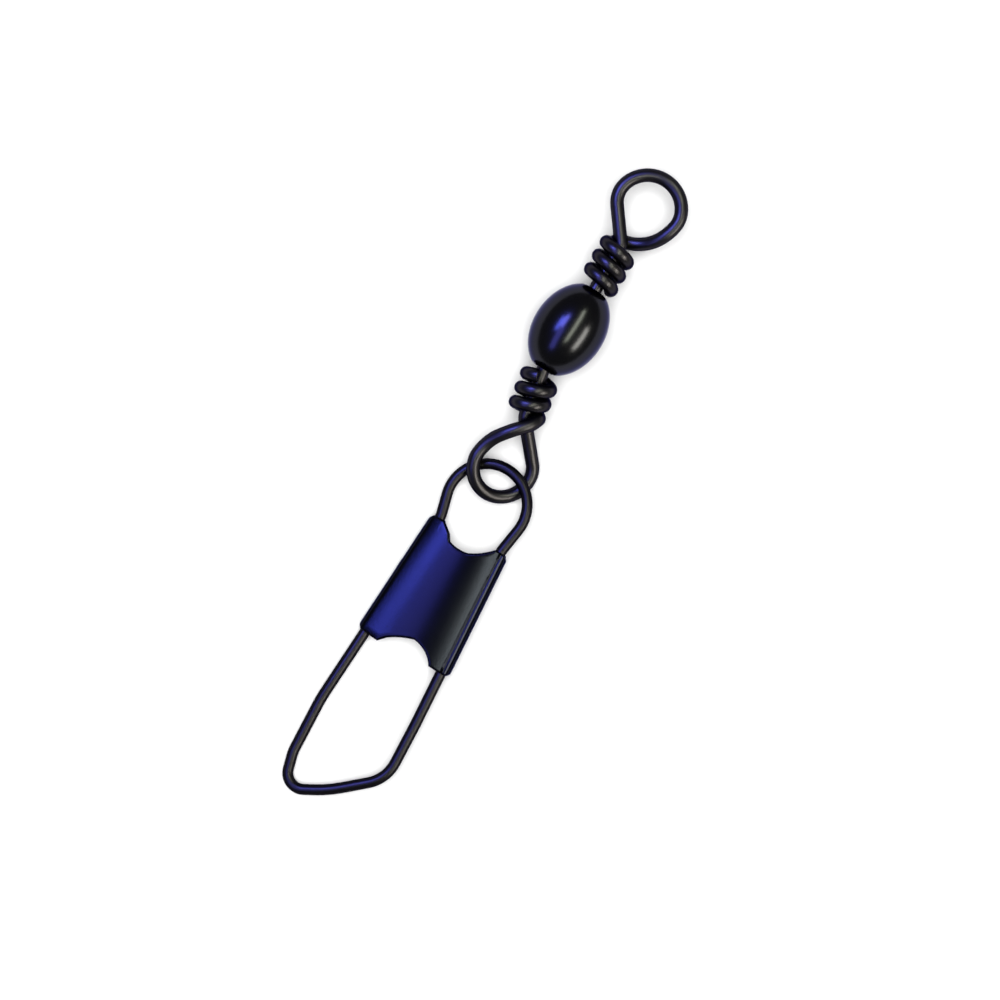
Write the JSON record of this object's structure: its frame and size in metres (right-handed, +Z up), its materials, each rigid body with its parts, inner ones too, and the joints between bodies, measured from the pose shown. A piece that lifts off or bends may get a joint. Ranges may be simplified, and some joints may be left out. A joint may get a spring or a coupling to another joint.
{
  "type": "snap swivel",
  "caption": "Barrel swivel with two wire eyes, linked to a sheathed safety snap with a sprung wire arm; joins a fishing line to a lure.",
  "frame": {"origin": "middle of the footprint, on the surface that it lies on", "axes": "+X along the barrel towards the line eye, +Y to the left seen from above, +Z up, away from the surface"},
  "size_m": [0.0489, 0.0096, 0.0049],
  "materials": {
    "barrel": "polished black nickel plate",
    "swivel_wire": "black nickel plated wire",
    "snap_wire": "black nickel plated spring wire",
    "clasp": "black nickel plated sheet"
  },
  "bodies": {
    "arm": {"snap_arm": "snap_wire"},
    "snap": {"clasp": "clasp", "snap_loop": "snap_wire"},
    "lower_eye": {"snap_eye": "swivel_wire"},
    "barrel": {"barrel": "barrel"},
    "upper_eye": {"line_eye": "swivel_wire"}
  },
  "joints": [
    {"name": "snap_opening", "type": "hinge", "parent": "arm", "child": "snap", "pos_m": [-0.00769, -0.00306, 0.00141], "axis": [0.9921, 0.125, 0.0063], "range_deg": [0, 40], "stiffness_Nm_per_rad": 0.02},
    {"name": "link_swing", "type": "hinge", "parent": "snap", "child": "lower_eye", "pos_m": [0.00118, 0.00055, 0.00103], "axis": [0.3609, -0.9324, 0.016], "range_deg": [-4, 85]},
    {"name": "eye_spin", "type": "hinge", "parent": "lower_eye", "child": "barrel", "pos_m": [0.00903, 0.002, 0.00247], "axis": [1, 0, 0], "continuous": true},
    {"name": "line_eye_spin", "type": "hinge", "parent": "barrel", "child": "upper_eye", "pos_m": [0.01496, 0.002, 0.00247], "axis": [1, 0, 0], "continuous": true}
  ]
}
